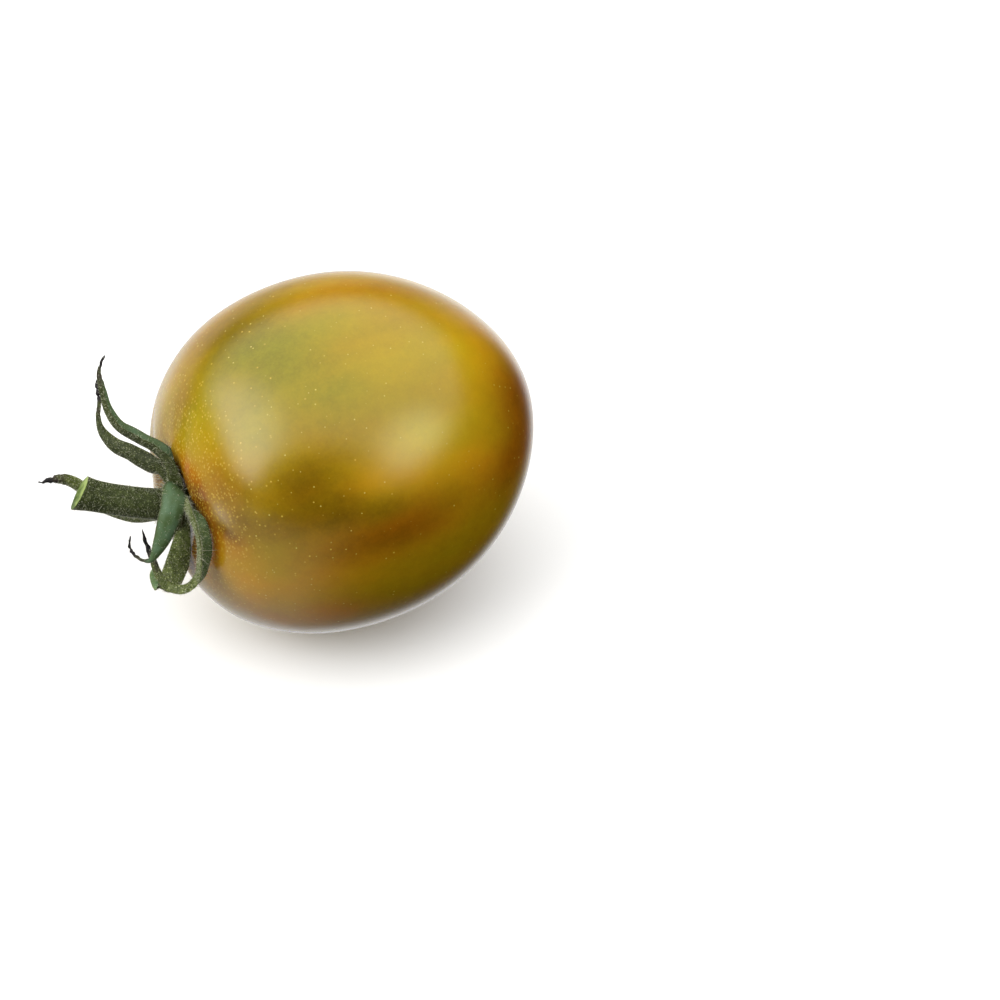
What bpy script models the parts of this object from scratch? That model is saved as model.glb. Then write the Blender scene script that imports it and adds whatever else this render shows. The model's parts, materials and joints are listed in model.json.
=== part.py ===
"""A green grape tomato as picked: the fruit, its six-pointed calyx and its cut stem.

Metres, +Z up. The fruit lies on its side on the plane z = 0. +X runs along the fruit to
its blossom end, the stem end is at -X, and the origin is below the middle of the fruit's
length, on the small flat spot that it rests on. The driving sizes are in millimetres.
"""

import math
from typing import NamedTuple

import bmesh
import bpy
from mathutils import Vector

MM = 0.001
GAP = 0.3

# The fruit, before the hollow at its stem end is pressed in
FRUIT_LENGTH = 33.0
FRUIT_SWELL = 15.3
BLUNTNESS = (0.163, 0.026, 0.032)
FRUIT_RINGS = 36
FRUIT_SIDES = 60

# The hollow round the stem, a little above the fruit's axis
HOLLOW_DEPTH = 1.8
HOLLOW_WIDTH = 4.2
HOLLOW_RISE = 1.0

# Faint lobes round the hollow, where the outline has turned by this angle
LOBES = 6
LOBE_DEPTH = 0.016
LOBE_AT = 0.55
LOBE_SPREAD = 0.32
FURROW_ANGLE = math.radians(157)

# The stem end leans: fuller at the lower front than at the upper back
LEAN = 0.055
LEAN_ANGLE = math.radians(45)

# The blossom-end scar, a small blunt point
SCAR_HEIGHT = 0.35
SCAR_WIDTH = 0.9

# The flat spot: how much of the underside it takes off
FLAT_DEPTH = 0.3

# The calyx: a low boss, as (out of the fruit, radius) rings, with the sepals on it
BOSS_RINGS = ((0.55, 0.9), (0.85, 1.7), (1.2, 2.25), (1.65, 2.1), (2.05, 1.5))
BOSS_SIDES = 24
SEPAL_STATIONS = 32
SEPAL_SIDES = 8
SEPAL_THICKNESS = 0.8
TIP_THICKNESS = 0.6
TURNED_BY = 0.35
POINTED_SHARE = 0.08
POINTED_DROP = 0.8

# The stem: thicker at its foot and at its end, and cut through at a slant, shorter above and behind
STEM_RADIUS = 1.28
STEM_FOOT = 1.32
STEM_END = 1.5
STEM_SLANT = math.radians(15)
SHORT_SIDE = math.radians(45)
SLANT_FROM = 0.6
FOOT_FLARE = 6
END_FLARE = 5
STEM_STATIONS = 18
STEM_SIDES = 18

# How finely curves are followed before they are divided into even steps
CURVE_STEPS = 20
PROFILE_STEPS = 400

# Centrelines, as (out of the fruit, to the back, up) from the middle of the hollow's floor
STEM_LINE = (
    (2.4, 0.25, 0.25),
    (3.4, 0.6, 0.5),
    (4.8, 1.35, 0.75),
    (6.4, 2.3, 1.05),
    (8.4, 3.3, 1.75),
)


class Sepal(NamedTuple):
    """A sepal: (out, back, up, width) along it, the ways its width lies at its root and after, its fold."""

    line: tuple
    across: tuple
    fold: float


SEPALS = {
    "upper_back": Sepal(
        ((1.2, 0.1, 1.2, 1.4), (1.1, 0.1, 2.9, 1.9), (1.2, 0.9, 4.4, 1.8), (1.7, 2.2, 5.0, 1.6),
         (2.7, 3.6, 5.4, 1.45), (3.7, 5.0, 5.9, 1.25), (4.0, 6.4, 6.6, 1.0), (3.8, 7.8, 7.5, 0.7),
         (3.5, 9.1, 8.7, 0.3), (2.6, 9.6, 9.9, 0.15)),
        across=((0, -0.89, 0.45), (0.58, -0.63, 0.52)), fold=0.5,
    ),
    "upper_front": Sepal(
        ((1.1, 0.3, 0.7, 1.3), (1.35, 2.0, 2.05, 1.7), (2.1, 3.1, 2.3, 1.9), (3.0, 4.6, 2.6, 1.6),
         (3.9, 6.1, 2.7, 1.4), (4.3, 7.4, 3.1, 1.0), (4.1, 8.6, 3.7, 0.5), (3.5, 9.6, 4.4, 0.36),
         (2.9, 11.3, 5.3, 0.4)),
        across=((0, -0.6, 0.78), (-0.48, -0.03, 0.85)), fold=0.3,
    ),
    "behind_stem": Sepal(
        ((1.1, 0.6, -0.4, 1.3), (1.8, 1.4, -1.7, 1.6), (2.8, 2.3, -2.4, 1.9), (4.2, 3.3, -2.7, 2.0),
         (5.7, 4.8, -2.4, 1.8), (6.6, 6.0, -1.8, 1.3), (7.3, 7.0, -1.2, 1.05), (8.2, 7.5, -0.7, 0.9),
         (9.1, 7.6, -0.5, 0.5), (10.4, 7.6, -0.2, 0.1)),
        across=((0, 0.76, 0.43), (-0.2, 0.5, 0.85)), fold=0.3,
    ),
    "front": Sepal(
        ((1.1, -0.3, 1.0, 1.7), (1.3, -0.8, 2.6, 2.2), (1.9, -1.6, 2.8, 2.3), (2.5, -2.3, 2.3, 2.1),
         (3.2, -2.8, 1.5, 1.85), (3.9, -3.2, 0.4, 1.5), (4.6, -3.4, -0.7, 1.0), (5.2, -3.4, -1.6, 0.5),
         (5.7, -2.9, -1.9, 0.3), (6.1, -2.0, -1.9, 0.28), (6.1, -1.1, -1.5, 0.22), (5.7, -0.7, -0.9, 0.12)),
        across=((0, -0.95, -0.3), (-0.72, -0.66, -0.22)), fold=0.1,
    ),
    "lower_middle": Sepal(
        ((1.1, -0.4, 0.2, 1.3), (1.2, -1.5, -0.2, 1.4), (1.5, -2.0, -1.0, 1.4), (2.0, -2.5, -2.4, 1.7),
         (2.6, -2.8, -4.0, 2.0), (3.3, -2.8, -5.7, 1.9), (3.9, -2.4, -6.6, 1.5), (4.2, -1.6, -6.2, 0.9),
         (4.1, -1.1, -5.6, 0.4)),
        across=((0, 0.65, -0.75), (0.74, 0.64, 0.2)), fold=0.3,
    ),
    "lower_loop": Sepal(
        ((1.1, -0.8, 0.9, 1.2), (1.3, -3.0, 2.5, 1.4), (1.6, -4.8, 3.0, 1.6), (1.7, -6.0, 2.0, 1.6),
         (1.8, -6.4, 0.9, 1.6), (2.0, -6.6, -0.5, 1.5), (2.3, -6.5, -2.2, 1.3), (3.2, -6.0, -3.6, 1.0),
         (4.1, -5.0, -4.0, 0.9), (4.6, -4.0, -3.6, 0.85), (4.7, -3.1, -3.0, 0.7), (4.7, -2.4, -2.3, 0.5),
         (4.8, -1.8, -1.6, 0.35), (4.8, -1.0, -0.3, 0.12)),
        across=((0, -0.33, -0.94), (-0.8, 0.52, -0.27)), fold=0.5,
    ),
}


def outward(point):
    """A point given from the hollow's floor, in the fruit's own millimetres, and its width if it has one."""
    out, back, up, *width = point
    floor = -FRUIT_LENGTH / 2 + HOLLOW_DEPTH
    return Vector((floor - out, back, up + HOLLOW_RISE, *width))


def profile_radius(turn):
    """The fruit's radius where its outline has turned this far round from the stem end."""
    series = 1.0
    for order, share in enumerate(BLUNTNESS, start=1):
        series += share * math.cos(order * turn)
    return FRUIT_SWELL * math.sin(turn) * series


def rest_height():
    """How far the flat spot lies below the fruit's axis."""
    widest = max(profile_radius(math.pi * i / PROFILE_STEPS) for i in range(PROFILE_STEPS))
    return widest - FLAT_DEPTH


def skin_point(turn, around):
    """A point of the fruit's skin, in millimetres from the middle of the fruit."""
    lobe = math.exp(-((turn - LOBE_AT) / LOBE_SPREAD) ** 2)
    radius = profile_radius(turn) * (1 - LOBE_DEPTH * lobe * math.cos(LOBES * (around - FURROW_ANGLE)))
    x = -FRUIT_LENGTH / 2 * math.cos(turn)
    y = radius * math.cos(around)
    z = radius * math.sin(around)
    if turn < math.pi / 2:
        reach = math.hypot(y, z - HOLLOW_RISE)
        x += HOLLOW_DEPTH * math.exp(-(reach / HOLLOW_WIDTH) ** 2)
        x += LEAN * radius * math.cos(around - LEAN_ANGLE) * math.cos(turn) ** 2
    else:
        x += SCAR_HEIGHT * math.exp(-(math.hypot(y, z) / SCAR_WIDTH) ** 2)
    return Vector((x, y, z))


def material(name, color, roughness):
    """A plain finish for a piece."""
    made = bpy.data.materials.new(name)
    made.use_nodes = True
    shader = made.node_tree.nodes["Principled BSDF"]
    shader.inputs["Base Color"].default_value = (*color, 1.0)
    shader.inputs["Roughness"].default_value = roughness
    shader.inputs["Metallic"].default_value = 0.0
    return made


def to_part(point):
    """Millimetres from the middle of the fruit, as metres above the resting surface."""
    return Vector((point.x, point.y, point.z + rest_height())) * MM


def loft(rings):
    """A closed mesh through rings of points, with flat ends or ends that close in a single point."""
    mesh = bmesh.new()
    made = [[mesh.verts.new(to_part(p)) for p in ring] for ring in rings]
    for near, far in zip(made, made[1:]):
        skin_between(mesh, near, far)
    for end in (made[0], made[-1]):
        if len(end) > 1:
            mesh.faces.new(end)
    bmesh.ops.recalc_face_normals(mesh, faces=mesh.faces)
    return mesh


def skin_between(mesh, near, far):
    """Faces between two rings, either of which may be a single point."""
    count = max(len(near), len(far))
    for i in range(count):
        j = (i + 1) % count
        if len(near) == 1:
            mesh.faces.new((near[0], far[i], far[j]))
        elif len(far) == 1:
            mesh.faces.new((near[i], far[0], near[j]))
        else:
            mesh.faces.new((near[i], far[i], far[j], near[j]))


def add_object(name, mesh, finish, sharp=35):
    """A smooth-shaded object of a finished bmesh."""
    data = bpy.data.meshes.new(name)
    mesh.to_mesh(data)
    mesh.free()
    data.shade_smooth()
    data.set_sharp_from_angle(angle=math.radians(sharp))
    data.materials.append(finish)
    made = bpy.data.objects.new(name, data)
    bpy.context.scene.collection.objects.link(made)
    return made


def smooth_line(points, count):
    """Evenly spaced points on a smooth curve through the given ones."""
    knots = [points[0] * 2 - points[1], *points, points[-1] * 2 - points[-2]]
    fine = []
    for a, b, c, d in zip(knots, knots[1:], knots[2:], knots[3:]):
        for step in range(CURVE_STEPS):
            t = step / CURVE_STEPS
            bend = (2 * a - 5 * b + 4 * c - d) * t ** 2 + (3 * b - a - 3 * c + d) * t ** 3
            fine.append(b + ((c - a) * t + bend) / 2)
    fine.append(points[-1])
    reach = [0.0]
    for p, q in zip(fine, fine[1:]):
        reach.append(reach[-1] + (q - p).length)
    line = []
    at = 0
    for i in range(count):
        goal = reach[-1] * i / (count - 1)
        while at < len(fine) - 2 and reach[at + 1] < goal:
            at += 1
        share = (goal - reach[at]) / (reach[at + 1] - reach[at])
        line.append(fine[at].lerp(fine[at + 1], share))
    return line


def headings(line):
    """The direction of the line at each of its points."""
    found = []
    for i in range(len(line)):
        ahead = line[min(i + 1, len(line) - 1)]
        behind = line[max(i - 1, 0)]
        found.append((ahead - behind).normalized())
    return found


def crossways(hint, heading):
    """The unit direction nearest to the hint that is square to the heading."""
    return (hint - heading * hint.dot(heading)).normalized()


def pointed(share):
    """Draws the last of a sepal's length in to a blunt point."""
    over = max(0.0, share - 1 + POINTED_SHARE) / POINTED_SHARE
    return math.sqrt(1 - POINTED_DROP * over ** 2)


def lying(sepal, share):
    """The way a sepal's width lies: along the skin at its root, then turned to its blade's way."""
    root, blade = (Vector((-out, back, up)) for out, back, up in sepal.across)
    return root.lerp(blade, min(1.0, share / TURNED_BY))


def sepal_mesh(sepal):
    """One sepal: a folded blade along its own centreline."""
    stations = smooth_line([outward(p) for p in sepal.line], SEPAL_STATIONS)
    line = [station.to_3d() for station in stations]
    rings = []
    for i, (centre, heading) in enumerate(zip(line, headings(line))):
        share = i / (SEPAL_STATIONS - 1)
        side = crossways(lying(sepal, share), heading)
        face = heading.cross(side)
        half = max(stations[i].w, TIP_THICKNESS) / 2 * pointed(share)
        thick = (SEPAL_THICKNESS + (TIP_THICKNESS - SEPAL_THICKNESS) * share) / 2 * pointed(share)
        fold = sepal.fold * (half - thick)
        ring = []
        for j in range(SEPAL_SIDES):
            angle = 2 * math.pi * j / SEPAL_SIDES
            wide = math.cos(angle)
            lift = thick * math.sin(angle) + fold * (wide ** 2 - 0.5)
            ring.append(centre + side * half * wide + face * lift)
        rings.append(ring)
    return loft(rings)


def ring_about(centre, axis, radius, sides, slant=0.0):
    """A ring of points about an axis, its first point uppermost, drawn back on one side by the slant."""
    up = crossways(Vector((0, 0, 1)), axis)
    beside = axis.cross(up)
    ring = []
    for i in range(sides):
        angle = 2 * math.pi * i / sides
        outer = up * math.cos(angle) + beside * math.sin(angle)
        ring.append(centre + (outer - axis * slant * math.cos(angle - SHORT_SIDE)) * radius)
    return ring


def boss_rings():
    """The boss leans from the fruit's axis over to the foot of the stem."""
    foot = outward(STEM_LINE[0])
    tilt = (outward(STEM_LINE[1]) - foot).normalized()
    straight = Vector((-1, 0, 0))
    lowest, highest = BOSS_RINGS[0][0], BOSS_RINGS[-1][0]
    rings = []
    for out, radius in BOSS_RINGS:
        share = (out - lowest) / (highest - lowest)
        low = outward((out, 0, 0))
        high = foot - tilt * (highest - out + GAP)
        rings.append(ring_about(low.lerp(high, share), straight.slerp(tilt, share), radius, BOSS_SIDES))
    return rings


def build_fruit():
    """The fruit: turned about its long axis, hollowed and lobed at the stem, flat below."""
    rings = [[skin_point(0, 0)]]
    for i in range(1, FRUIT_RINGS):
        turn = math.pi * i / FRUIT_RINGS
        rings.append([skin_point(turn, 2 * math.pi * j / FRUIT_SIDES) for j in range(FRUIT_SIDES)])
    rings.append([skin_point(math.pi, 0)])
    mesh = loft(rings)
    everything = mesh.verts[:] + mesh.edges[:] + mesh.faces[:]
    cut = bmesh.ops.bisect_plane(mesh, geom=everything, plane_no=(0, 0, -1), clear_outer=True)
    rim = [e for e in cut["geom_cut"] if isinstance(e, bmesh.types.BMEdge)]
    bmesh.ops.contextual_create(mesh, geom=rim)
    bmesh.ops.recalc_face_normals(mesh, faces=mesh.faces)
    add_object("fruit", mesh, material("fruit_skin", (0.42, 0.30, 0.05), 0.28))


def build_calyx():
    """The calyx: the sepals and the boss they grow from, joined in one body."""
    leaf = material("calyx_green", (0.09, 0.15, 0.07), 0.7)
    boss = add_object("calyx", loft(boss_rings()), leaf)
    pieces = bpy.data.collections.new("sepals")
    for name, sepal in SEPALS.items():
        piece = add_object("sepal_" + name, sepal_mesh(sepal), leaf)
        pieces.objects.link(piece)
    join_all(boss, pieces)
    for piece in list(pieces.objects):
        bpy.data.objects.remove(piece)
    bpy.data.collections.remove(pieces)


def join_all(body, pieces):
    """Makes one closed body of an object and a collection of pieces that are rooted in it."""
    union = body.modifiers.new("join", "BOOLEAN")
    union.operation = "UNION"
    union.operand_type = "COLLECTION"
    union.collection = pieces
    union.solver = "EXACT"
    joined = body.evaluated_get(bpy.context.evaluated_depsgraph_get())
    data = bpy.data.meshes.new_from_object(joined)
    body.modifiers.clear()
    body.data = data


def stem_radius(share):
    """The stem's radius along it: a little thicker at its foot and more so at its cut end."""
    foot = (STEM_FOOT - STEM_RADIUS) * (1 - share) ** FOOT_FLARE
    end = (STEM_END - STEM_RADIUS) * share ** END_FLARE
    return STEM_RADIUS + foot + end


def build_stem():
    """The stem: a bent stalk with a clean slanted cut."""
    line = smooth_line([outward(p) for p in STEM_LINE], STEM_STATIONS)
    rings = []
    for i, (centre, heading) in enumerate(zip(line, headings(line))):
        share = i / (STEM_STATIONS - 1)
        slant = math.tan(STEM_SLANT) * max(0.0, share - SLANT_FROM) / (1 - SLANT_FROM)
        rings.append(ring_about(centre, heading, stem_radius(share), STEM_SIDES, slant))
    add_object("stem", loft(rings), material("stem_green", (0.13, 0.19, 0.08), 0.65))


def main():
    for old in list(bpy.data.objects):
        bpy.data.objects.remove(old)
    build_fruit()
    build_calyx()
    build_stem()


main()
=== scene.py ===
"""The looks of a green grape tomato: its mottled skin, hairy calyx and cut stem, in a plain studio.

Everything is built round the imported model, in its frame. As there, the driving sizes are in
millimetres: the fruit lies along X with its stem end at -X, +Y is its back and +Z is up.
"""

import json
import math
from typing import NamedTuple

import bmesh
import bpy
import numpy as np
from mathutils import Matrix, Vector, noise
from mathutils.kdtree import KDTree

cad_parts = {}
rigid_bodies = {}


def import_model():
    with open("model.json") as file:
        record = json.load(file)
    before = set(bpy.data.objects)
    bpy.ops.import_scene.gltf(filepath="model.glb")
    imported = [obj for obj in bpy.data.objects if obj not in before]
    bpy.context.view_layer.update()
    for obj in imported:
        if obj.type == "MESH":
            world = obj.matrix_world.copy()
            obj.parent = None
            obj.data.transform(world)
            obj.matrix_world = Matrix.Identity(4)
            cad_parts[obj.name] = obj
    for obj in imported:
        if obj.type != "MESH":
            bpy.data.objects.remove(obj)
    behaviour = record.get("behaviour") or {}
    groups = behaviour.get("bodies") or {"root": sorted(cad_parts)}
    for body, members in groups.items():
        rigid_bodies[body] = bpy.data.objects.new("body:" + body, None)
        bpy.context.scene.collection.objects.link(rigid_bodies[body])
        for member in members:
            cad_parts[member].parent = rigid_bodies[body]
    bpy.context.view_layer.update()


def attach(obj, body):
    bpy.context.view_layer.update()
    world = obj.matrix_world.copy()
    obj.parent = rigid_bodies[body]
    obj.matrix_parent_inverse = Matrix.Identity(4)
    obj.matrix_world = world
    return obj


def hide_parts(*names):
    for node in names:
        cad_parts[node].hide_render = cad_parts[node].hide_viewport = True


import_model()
SEED = 7

MM = 0.001

# The fruit: the solid's form, but with a narrower hollow, so that the skin meets the calyx
FRUIT_LENGTH = 33.0
FRUIT_SWELL = 15.3
BLUNTNESS = (0.163, 0.026, 0.032)
HOLLOW_DEPTH = 1.8
HOLLOW_WIDTH = 3.1
HOLLOW_RISE = 1.0
LOBES = 6
LOBE_DEPTH = 0.016
LOBE_AT = 0.55
LOBE_SPREAD = 0.32
FURROW_ANGLE = math.radians(157)
LEAN = 0.055
LEAN_ANGLE = math.radians(45)
FLAT_DEPTH = 0.3
FRUIT_RINGS = 190
FRUIT_SIDES = 220

# Faint puckers of the shoulder round the hollow, as (angle round the fruit, height, spread of the angle)
PUCKERS = (
    (20, -0.12, 8),
    (60, -0.05, 9),
    (112, -0.04, 8),
    (250, 0.12, 10),
    (285, -0.16, 8),
    (330, 0.12, 10),
)
PUCKER_REACH = 6.8
PUCKER_LENGTH = 2.4


class Mark(NamedTuple):
    """A mark on the shoulder, seen along the fruit: its middle, half sizes, the way it lies, what it adds.

    It adds to the skin's height, and to how ripe, light and pale the skin is. The darkening that marks add
    beside the calyx and in the crease is painted shade, and the paleness is a painted highlight.
    """

    back: float
    up: float
    length: float
    width: float
    angle: float
    height: float
    ripe: float
    light: float
    pale: float = 0.0

    def weight(self, back, up):
        """One at the middle of the mark, fading to none outside it."""
        way = math.radians(self.angle)
        along = (back - self.back) * math.cos(way) + (up - self.up) * math.sin(way)
        aside = (up - self.up) * math.cos(way) - (back - self.back) * math.sin(way)
        return math.exp(-(along / self.length) ** 2 - (aside / self.width) ** 2)


# The crease is darkened by painted shade over a riper tone, and the swelling's paleness is a painted
# highlight
SWELLING = Mark(-6.4, 5.3, 1.1, 0.72, 206, 0.12, 0.0, 0.10, 0.90)
CREASE = Mark(-7.3, 3.8, 1.4, 0.65, 190, -0.08, 0.20, -0.42)
MARKS = (
    SWELLING,
    CREASE,
    # Where these marks darken the skin beside the calyx, that is painted contact shade over a riper tone
    Mark(-6.0, 2.2, 2.2, 0.8, 72, 0.0, 0.60, -0.20),
    Mark(-0.9, 6.2, 2.2, 0.9, 190, 0.0, 0.35, 0.10),
    Mark(-3.8, 5.4, 1.4, 0.8, 216, 0.0, 0.50, -0.42),
    Mark(-4.8, 8.0, 2.4, 1.4, 205, 0.0, 0.15, -0.20),
    Mark(-7.0, 0.6, 0.9, 1.6, 0, 0.0, -0.05, 0.50),
    Mark(-7.9, 5.7, 1.1, 0.8, 200, 0.0, 0.10, -0.26),
)

# Where the skin ripens under the calyx, and painted contact shade darkens it: its middle (back, up), its
# reach and how sharply it ends
CONTACT = (-0.9, 0.4)
CONTACT_REACH = 5.4
CONTACT_EDGE = 8
CONTACT_RIPE = 0.4
CONTACT_SHADE = 0.7

# The blossom-end scar: a corky dot on a small point
SCAR_HEIGHT = 0.35
SCAR_WIDTH = 0.9
SCAR_RADIUS = 0.55
SCAR_CORE = 0.33
SCAR_COLOR = (0.16, 0.085, 0.035)


def rest_height():
    """How far the flat spot lies below the fruit's axis."""
    steps = 400
    return max(profile_radius(math.pi * i / steps) for i in range(steps)) - FLAT_DEPTH


def profile_radius(turn):
    """The fruit's radius where its outline has turned this far round from the stem end."""
    series = 1.0
    for order, share in enumerate(BLUNTNESS, start=1):
        series += share * math.cos(order * turn)
    return FRUIT_SWELL * math.sin(turn) * series


REST = rest_height()


def to_part(point):
    """Millimetres from the middle of the fruit, as metres above the resting surface."""
    return Vector((point[0], point[1], point[2] + REST)) * MM


def outward(point):
    """A point given as (out, back, up) from the hollow's floor, and its width if it has one."""
    out, back, up, *width = point
    floor = -FRUIT_LENGTH / 2 + HOLLOW_DEPTH
    return Vector((floor - out, back, up + HOLLOW_RISE, *width))


def turned(a, b):
    """The angle between two directions round the fruit, in degrees, at most half a turn."""
    return abs((a - b + 180) % 360 - 180)


def skin_point(turn, around):
    """A point of the fruit's skin, in millimetres from the middle of the fruit."""
    lobe = math.exp(-((turn - LOBE_AT) / LOBE_SPREAD) ** 2)
    radius = profile_radius(turn) * (1 - LOBE_DEPTH * lobe * math.cos(LOBES * (around - FURROW_ANGLE)))
    x = -FRUIT_LENGTH / 2 * math.cos(turn)
    y = radius * math.cos(around)
    z = radius * math.sin(around)
    if turn < math.pi / 2:
        reach = math.hypot(y, z - HOLLOW_RISE)
        x += HOLLOW_DEPTH * math.exp(-(reach / HOLLOW_WIDTH) ** 2)
        x += LEAN * radius * math.cos(around - LEAN_ANGLE) * math.cos(turn) ** 2
        ring = math.exp(-((reach - PUCKER_REACH) / PUCKER_LENGTH) ** 2)
        for angle, height, spread in PUCKERS:
            x -= height * ring * math.exp(-(turned(math.degrees(around), angle) / spread) ** 2)
        for mark in (SWELLING, CREASE):
            x -= mark.height * mark.weight(y, z)
    else:
        x += SCAR_HEIGHT * math.exp(-(math.hypot(y, z) / SCAR_WIDTH) ** 2)
    return Vector((x, y, max(z, -REST)))


# Making meshes


def new_object(name, mesh, finish):
    """A smooth-shaded object of a finished bmesh."""
    data = bpy.data.meshes.new(name)
    mesh.to_mesh(data)
    mesh.free()
    data.shade_smooth()
    data.materials.append(finish)
    made = bpy.data.objects.new(name, data)
    bpy.context.scene.collection.objects.link(made)
    return made


def loft(rings):
    """A closed mesh through rings of points, with flat ends or ends that close in a single point."""
    mesh = bmesh.new()
    made = [[mesh.verts.new(to_part(p)) for p in ring] for ring in rings]
    for near, far in zip(made, made[1:]):
        count = max(len(near), len(far))
        for i in range(count):
            j = (i + 1) % count
            if len(near) == 1:
                mesh.faces.new((near[0], far[i], far[j]))
            elif len(far) == 1:
                mesh.faces.new((near[i], far[0], near[j]))
            else:
                mesh.faces.new((near[i], far[i], far[j], near[j]))
    for end in (made[0], made[-1]):
        if len(end) > 1:
            mesh.faces.new(end)
    bmesh.ops.recalc_face_normals(mesh, faces=mesh.faces)
    return mesh


def write_values(data, name, values):
    """Stores one number for each vertex of a mesh, for its material to read."""
    layer = data.attributes.new(name, "FLOAT", "POINT")
    layer.data.foreach_set("value", np.asarray(values, np.float32))


def smooth_line(points, count):
    """Evenly spaced points on a smooth curve through the given ones."""
    knots = [points[0] * 2 - points[1], *points, points[-1] * 2 - points[-2]]
    steps = 20
    fine = []
    for a, b, c, d in zip(knots, knots[1:], knots[2:], knots[3:]):
        for step in range(steps):
            t = step / steps
            bend = (2 * a - 5 * b + 4 * c - d) * t ** 2 + (3 * b - a - 3 * c + d) * t ** 3
            fine.append(b + ((c - a) * t + bend) / 2)
    fine.append(points[-1])
    reach = [0.0]
    for p, q in zip(fine, fine[1:]):
        reach.append(reach[-1] + (q - p).length)
    line = []
    at = 0
    for i in range(count):
        goal = reach[-1] * i / (count - 1)
        while at < len(fine) - 2 and reach[at + 1] < goal:
            at += 1
        share = (goal - reach[at]) / (reach[at + 1] - reach[at])
        line.append(fine[at].lerp(fine[at + 1], share))
    return line


def headings(line):
    """The direction of the line at each of its points."""
    found = []
    for i in range(len(line)):
        ahead = line[min(i + 1, len(line) - 1)]
        behind = line[max(i - 1, 0)]
        found.append((ahead - behind).normalized())
    return found


def crossways(hint, heading):
    """The unit direction nearest to the hint that is square to the heading."""
    return (hint - heading * hint.dot(heading)).normalized()


# Materials

# How far streaks are drawn out along the fruit, and how much of a dot's radius has its full colour
STRETCH = 2.6
DOT_CORE = 0.5


class Nodes:
    """A tree of nodes in the making: its nodes and the links between them."""

    def __init__(self, tree):
        self.tree = tree

    def node(self, kind, inputs=None, **settings):
        """A node with its settings, and with its inputs set or linked."""
        made = self.tree.nodes.new(kind)
        for key, value in settings.items():
            setattr(made, key, value)
        for key, value in (inputs or {}).items():
            self.feed(made.inputs[key], value)
        return made

    def feed(self, socket, value):
        """Links a socket to another, or sets its own value."""
        if isinstance(value, bpy.types.NodeSocket):
            self.tree.links.new(value, socket)
        else:
            socket.default_value = value

    def math(self, operation, first, second):
        """Arithmetic on two numbers."""
        return self.node("ShaderNodeMath", {0: first, 1: second}, operation=operation).outputs[0]

    def fade(self, value, low, high):
        """Goes smoothly from 0 at low to 1 at high."""
        inputs = {"Value": value, "From Min": low, "From Max": high}
        return self.node("ShaderNodeMapRange", inputs, interpolation_type="SMOOTHSTEP").outputs["Result"]

    def without(self, share):
        """What is left of one after a share."""
        return self.math("SUBTRACT", 1.0, share)


class Finish(Nodes):
    """A material in the making."""

    def __init__(self, name):
        self.material = bpy.data.materials.new(name)
        self.material.use_nodes = True
        super().__init__(self.material.node_tree)
        self.shader = self.tree.nodes["Principled BSDF"]
        self.place = self.node("ShaderNodeTexCoord").outputs["Object"]

    def set(self, name, value):
        """Sets an input of the shader, or links it."""
        self.feed(self.shader.inputs[name], value)

    def value(self, name):
        """The number that the mesh stores under this name."""
        return self.node("ShaderNodeAttribute", attribute_name=name).outputs["Fac"]

    def stretched(self, along):
        """The place on the object, drawn out along the fruit by this factor."""
        scale = (1 / along, 1.0, 1.0)
        return self.node("ShaderNodeMapping", {"Vector": self.place, "Scale": scale}).outputs["Vector"]

    def noise(self, size, detail=2.0, place=None):
        """Soft noise with features of this size in millimetres, from 0 to 1."""
        inputs = {"Vector": place or self.place, "Scale": 1 / (size * MM), "Detail": detail}
        return self.node("ShaderNodeTexNoise", inputs).outputs["Fac"]

    def cells(self, size):
        """How far the nearest random cell's middle is, in cells, and a random number for that cell."""
        found = self.node("ShaderNodeTexVoronoi", {"Vector": self.place, "Scale": 1 / (size * MM)})
        chance = self.node("ShaderNodeSeparateColor", {"Color": found.outputs["Color"]})
        return found.outputs["Distance"], chance.outputs["Red"]

    def mix(self, share, first, second, blend="MIX"):
        """One colour laid over another by a share."""
        made = self.node("ShaderNodeMix", data_type="RGBA", blend_type=blend)
        self.feed(made.inputs[0], share)
        self.feed(made.inputs[6], solid(first))
        self.feed(made.inputs[7], solid(second))
        return made.outputs[2]

    def scaled(self, color, factor):
        """A colour made lighter or darker by a factor."""
        factors = self.node("ShaderNodeCombineColor", {"Red": factor, "Green": factor, "Blue": factor})
        return self.mix(1.0, color, factors.outputs["Color"], blend="MULTIPLY")

    def scaled_by(self, color, name, factor):
        """A colour made lighter where the mesh stores a number under this name."""
        return self.scaled(color, self.math("ADD", self.math("MULTIPLY", self.value(name), factor), 1.0))

    def ramp(self, value, stops):
        """A colour for each value, from (value, colour) stops."""
        made = self.node("ShaderNodeValToRGB", {"Fac": value})
        ramp = made.color_ramp
        while len(ramp.elements) < len(stops):
            ramp.elements.new(0.5)
        for element, (at, color) in zip(ramp.elements, stops):
            element.position = at
            element.color = solid(color)
        return made.outputs["Color"]

    def relief(self, height, depth):
        """Bump of this depth in millimetres."""
        inputs = {"Height": height, "Distance": depth * MM, "Strength": 1.0}
        self.set("Normal", self.node("ShaderNodeBump", inputs).outputs["Normal"])


def solid(color):
    """A colour given as three numbers gets its fourth; a socket stays a socket."""
    return (*color, 1.0) if isinstance(color, tuple) and len(color) == 3 else color


class Mottle(NamedTuple):
    """Soft blotches: their size in millimetres, their detail, what they add, whether they lie lengthwise."""

    size: float
    detail: float
    amount: float
    lengthwise: bool


def mottled(f, value, mottles):
    """A value with soft blotches over it, which add as much as they take away."""
    for mottle in mottles:
        place = f.stretched(STRETCH) if mottle.lengthwise else f.place
        blotches = f.math("SUBTRACT", f.noise(mottle.size, mottle.detail, place), 0.5)
        value = f.math("ADD", value, f.math("MULTIPLY", blotches, mottle.amount))
    return value


# The fruit's skin: patches that show from the front, then noise of the same kind all over


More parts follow.
